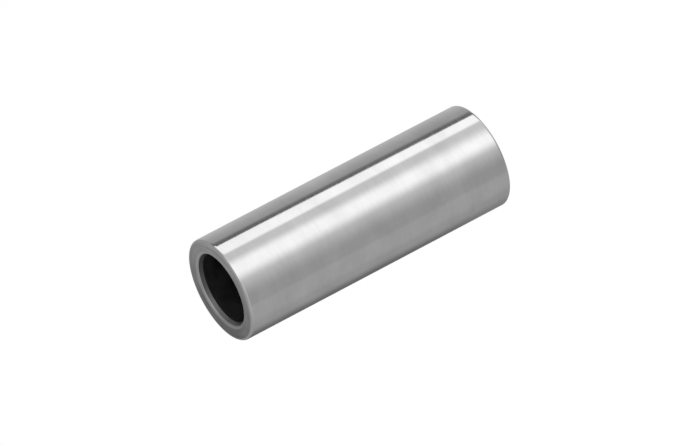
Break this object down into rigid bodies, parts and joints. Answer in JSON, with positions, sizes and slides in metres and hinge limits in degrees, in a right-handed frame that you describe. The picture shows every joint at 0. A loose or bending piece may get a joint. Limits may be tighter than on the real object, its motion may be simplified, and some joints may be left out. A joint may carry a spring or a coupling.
{
  "type": "gudgeon pin",
  "caption": "Hollow ground steel pin with rounded outer edges and a countersunk through bore, on which a connecting rod swings inside a piston.",
  "frame": {"origin": "middle of the lower end face, on the pin's axis", "axes": "+Z along the pin's axis, towards its other end; X and Y are free because the pin is round"},
  "size_m": [0.014, 0.014, 0.04],
  "materials": {
    "ground_steel": "fine circumferential grinding, near mirror across the marks; turned ends; dark bore"
  },
  "bodies": {
    "root": {"gudgeon_pin": "ground_steel"}
  },
  "joints": []
}
